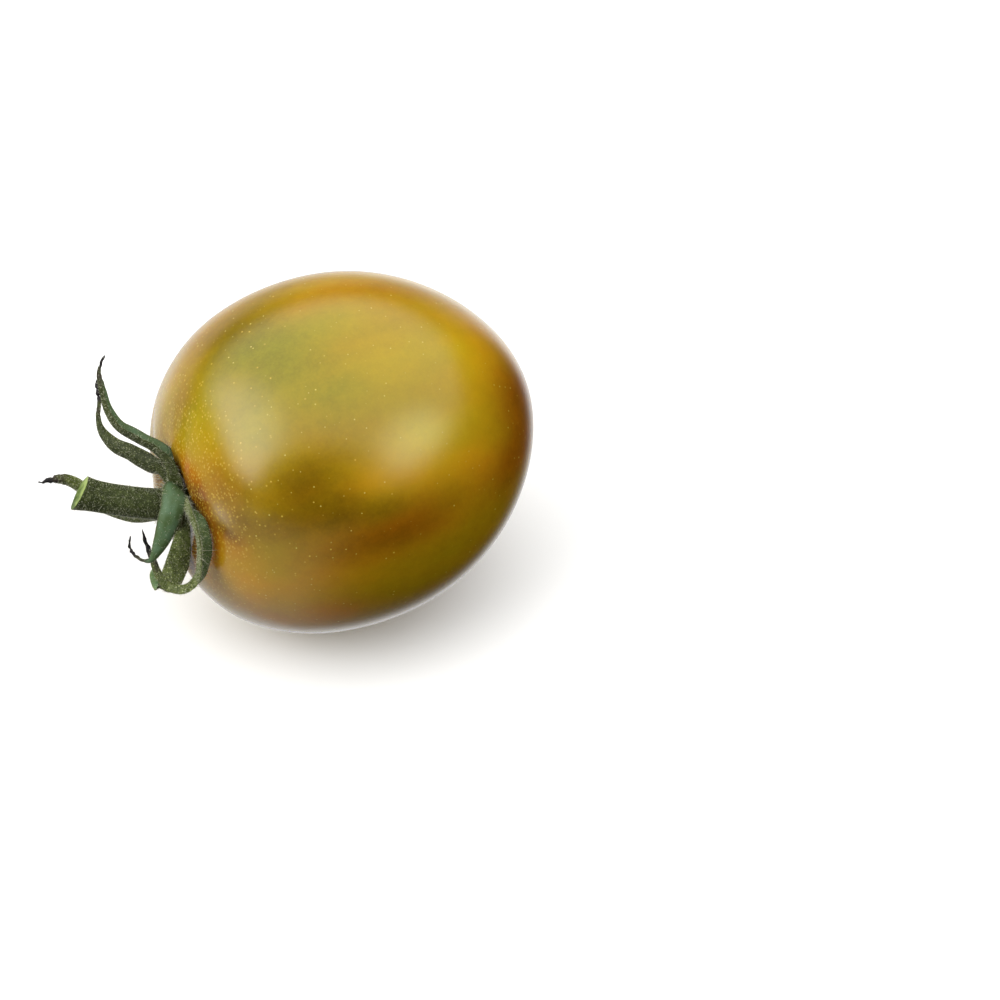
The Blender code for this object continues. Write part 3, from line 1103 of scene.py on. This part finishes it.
def hair_mesh(name, roots, ways, bends, lengths, radii):
    """Bent tapering spikes with closed roots, all in one mesh."""
    count = len(roots)
    beside = unit(np.cross(ways, bends + NO_BEND))
    above = np.cross(beside, ways)
    layers = []
    for step in HAIR_STEPS:
        middle = roots + (ways * step + bends * step ** 2) * lengths[:, None]
        wide = (radii * (1 - step) ** HAIR_TAPER)[:, None]
        for side in range(HAIR_SIDES):
            angle = 2 * math.pi * side / HAIR_SIDES
            layers.append(middle + (beside * math.cos(angle) + above * math.sin(angle)) * wide)
    layers.append(roots + (ways + bends) * lengths[:, None])
    places = np.stack(layers, axis=1).reshape(-1, 3)
    points_each = len(HAIR_STEPS) * HAIR_SIDES + 1
    faces = (np.array(hair_faces())[None] + (np.arange(count) * points_each)[:, None, None]).reshape(-1, 3)
    data = bpy.data.meshes.new(name)
    data.vertices.add(len(places))
    data.vertices.foreach_set("co", places.astype(np.float32).ravel())
    data.loops.add(faces.size)
    data.loops.foreach_set("vertex_index", faces.astype(np.int32).ravel())
    data.polygons.add(len(faces))
    data.polygons.foreach_set("loop_start", np.arange(0, faces.size, 3, dtype=np.int32))
    data.update(calc_edges=True)
    data.validate()
    return data


def hair_finish():
    """Pale cream hairs, some darker than others."""
    f = Finish("hair_pale")
    f.set("Base Color", f.mix(f.noise(1.5), *HAIR_COLORS))
    f.set("Roughness", 0.5)
    return f.material


class Hairs(NamedTuple):
    """A growth of hairs: how many, their lengths, how few are long, their radius and how far they lean."""

    count: int
    shortest: float
    longest: float
    rarity: float
    radius: float
    lean: float


SHORT_ON_CALYX = Hairs(11000, 0.06, 0.30, 2.6, 0.014, 0.2)
LONG_ON_CALYX = Hairs(480, 0.35, 1.2, 1.3, 0.019, 0.6)
SHORT_ON_STEM = Hairs(4500, 0.06, 0.26, 3.0, 0.011, 0.1)
LONG_ON_STEM = Hairs(50, 0.3, 0.9, 1.5, 0.016, 0.8)

# Where the calyx counts as smooth, as dry and as an edge, and how thickly hairs grow there
SMOOTH_FROM = 0.5
SMOOTH_GROWTH = 0.35
DRY_FROM = 0.8
DRY_GROWTH = 0.3
EDGE_FROM = 0.9
LONG_AT_EDGE = 0.1
CROWN_SHARE = 0.25


def add_hairs(name, base, kind, weights, headings_at, seed):
    """Hairs over a piece, leaning a little along it."""
    rng = np.random.default_rng(seed)
    points, normals, nearest = scatter(base.data, kind.count, weights, rng)
    along = np.array([headings_at[i] for i in nearest])
    ways = unit(normals + kind.lean * along + STRAY * rng.normal(size=(kind.count, 3)))
    bends = BEND * rng.normal(size=(kind.count, 3))
    span = kind.longest - kind.shortest
    lengths = (kind.shortest + span * rng.random(kind.count) ** kind.rarity) * MM
    radii = kind.radius * (THINNEST + THICKNESS_RANGE * rng.random(kind.count)) * MM
    roots = points - normals * HAIR_SUNK * MM
    data = hair_mesh(name, roots, ways, bends, lengths, radii)
    data.materials.append(bpy.data.materials.get("hair_pale") or hair_finish())
    hairs = bpy.data.objects.new(name, data)
    bpy.context.scene.collection.objects.link(hairs)
    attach(hairs, "root")


def short_growth(at):
    """How thickly short hairs grow at a point of the calyx: thinly where smooth or dry, most at edges."""
    growth = SMOOTH_GROWTH if at.smooth > SMOOTH_FROM else 1.0
    # Where painted light makes a sepal paler, it gets more pale hairs too
    growth *= DRY_GROWTH if at.dry > DRY_FROM else 1.0 + at.pale
    return growth + (at.across > EDGE_FROM)


def long_growth(at):
    """How thickly long hairs grow at a point of the calyx: about the crown, and a little at edges."""
    crown = math.exp(-(at.share / CROWN_SHARE) ** 2)
    return short_growth(at) * crown + LONG_AT_EDGE * (at.across > EDGE_FROM)


def add_all_hairs(calyx, leafy, stem, cut):
    """Short and long hairs on the calyx, and on the stem but not on its cut."""
    along = [tuple(at.heading) for at in leafy]
    weights = [short_growth(at) for at in leafy]
    add_hairs("calyx_hairs", calyx, SHORT_ON_CALYX, weights, along, SEED)
    weights = [long_growth(at) for at in leafy]
    add_hairs("calyx_long_hairs", calyx, LONG_ON_CALYX, weights, along, SEED + 1)
    along = [tuple((outward(STEM_LINE[-1]) - outward(STEM_LINE[0])).normalized())] * len(cut)
    weights = [float(c == 0) for c in cut]
    add_hairs("stem_hairs", stem, SHORT_ON_STEM, weights, along, SEED + 2)
    add_hairs("stem_long_hairs", stem, LONG_ON_STEM, weights, along, SEED + 3)


# The studio, with its angles in degrees

# Lights, as ((azimuth, elevation, inner reach, outer reach), power)
CEILING_POWER = 1.7
HIGH_LIGHTS = (
    ((-97, 26, 6, 50), 3.8),
    ((37, 28, 0, 27), 2.4),
)
LOW_POWER = 0.36
LOW_LIGHTS = (
    ((152, -48, 12, 38), 0.80),
    ((-160, -14, 12, 38), 0.36),
    ((-75, -36, 12, 62), 0.50),
    ((132, -28, 4, 24), 0.50),
)

# Dark places, given as the lights' places are
FRONT_DARK = (-28, 16, 30, 50)
LOW_DARK = (50, -20, 45, 75)
RIGHT_DARK = (92, -12, 24, 36)

# Where the upper light begins and the lower light ends, as heights of the direction
HORIZON = (0.15, 0.48)
LOW_EDGE = (-0.1, 0.15)

FLOOR_SIZE = 3.0
FLOOR_COLOR = (0.93, 0.93, 0.92)

# The camera, as the outline in the photo gives it
YAW = math.radians(27.8)
ELEVATION = math.radians(48)
PIXELS_PER_MM = 11.85
FRUIT_PIXEL = (346.2, 446.0)
IMAGE = 1000
SENSOR = 36.0
DISTANCE = 500.0
CLIP_START = 0.01


def view_axes():
    """The camera's right, its up and the way back from the subject to it."""
    right = Vector((math.cos(YAW), -math.sin(YAW), 0))
    level = Vector((-math.sin(YAW), -math.cos(YAW), 0))
    back = level * math.cos(ELEVATION) + Vector((0, 0, math.sin(ELEVATION)))
    return right, back.cross(right), back


def add_camera():
    """The photograph's viewpoint: from the front, well above, with the fruit left of the middle."""
    right, up, back = view_axes()
    aside = (FRUIT_PIXEL[0] - IMAGE / 2) / PIXELS_PER_MM
    above = (IMAGE / 2 - FRUIT_PIXEL[1]) / PIXELS_PER_MM
    place = (back * DISTANCE - right * aside - up * above) * MM + to_part((0, 0, 0))
    data = bpy.data.cameras.new("camera")
    data.sensor_width = SENSOR
    data.lens = SENSOR * DISTANCE / (IMAGE / PIXELS_PER_MM)
    data.clip_start = CLIP_START
    camera = bpy.data.objects.new("camera", data)
    turn = Matrix((right, up, back)).transposed().to_4x4()
    camera.matrix_world = Matrix.Translation(place) @ turn
    bpy.context.scene.collection.objects.link(camera)
    bpy.context.scene.camera = camera


def direction(azimuth, elevation):
    """The way to a place in the room; azimuth 0 is in front, 90 at the blossom end."""
    around, up = math.radians(azimuth), math.radians(elevation)
    return Vector((math.sin(around) * math.cos(up), -math.cos(around) * math.cos(up), math.sin(up)))


def round_patch(n, way, azimuth, elevation, inner, outer):
    """One within the inner angle of a place in the room, fading to none at the outer."""
    inputs = {0: way, 1: direction(azimuth, elevation)}
    near = n.node("ShaderNodeVectorMath", inputs, operation="DOT_PRODUCT").outputs["Value"]
    return n.fade(near, math.cos(math.radians(outer)), math.cos(math.radians(inner)))


def lit(n, way, power, lights):
    """An even light with round ones added to it."""
    for place, more in lights:
        power = n.math("ADD", power, n.math("MULTIPLY", round_patch(n, way, *place), more))
    return power


def add_surroundings():
    """A studio: a bright ceiling, a large soft light at each side, and dark where the camera stands."""
    world = bpy.data.worlds.new("room")
    world.use_nodes = True
    n = Nodes(world.node_tree)
    way = n.node("ShaderNodeTexCoord").outputs["Generated"]
    height = n.node("ShaderNodeSeparateXYZ", {0: way}).outputs["Z"]
    upper = n.math("MULTIPLY", lit(n, way, CEILING_POWER, HIGH_LIGHTS), n.fade(height, *HORIZON))
    upper = n.math("MULTIPLY", upper, n.without(round_patch(n, way, *FRONT_DARK)))
    lower = n.math("MULTIPLY", lit(n, way, LOW_POWER, LOW_LIGHTS), n.without(n.fade(height, *LOW_EDGE)))
    lower = n.math("MULTIPLY", lower, n.without(round_patch(n, way, *LOW_DARK)))
    sides = n.without(round_patch(n, way, *RIGHT_DARK))
    background = n.tree.nodes["Background"]
    background.inputs["Color"].default_value = (1, 1, 1, 1)
    n.feed(background.inputs["Strength"], n.math("MULTIPLY", n.math("ADD", upper, lower), sides))
    bpy.context.scene.world = world


def add_floor():
    """A plain pale floor, which lights nothing and shows in no reflection."""
    mesh = bmesh.new()
    bmesh.ops.create_grid(mesh, x_segments=1, y_segments=1, size=FLOOR_SIZE)
    f = Finish("floor_pale")
    f.set("Base Color", solid(FLOOR_COLOR))
    f.set("Roughness", 0.7)
    floor = new_object("floor", mesh, f.material)
    floor.visible_diffuse = False
    floor.visible_glossy = False


def main():
    """Builds the looks of the whole part, and then the studio round it."""
    build_fruit()
    calyx, leafy = build_calyx()
    stem, cut = build_stem()
    add_all_hairs(calyx, leafy, stem, cut)
    add_floor()
    add_surroundings()
    add_camera()
    bpy.context.scene.view_settings.view_transform = "Standard"


main()
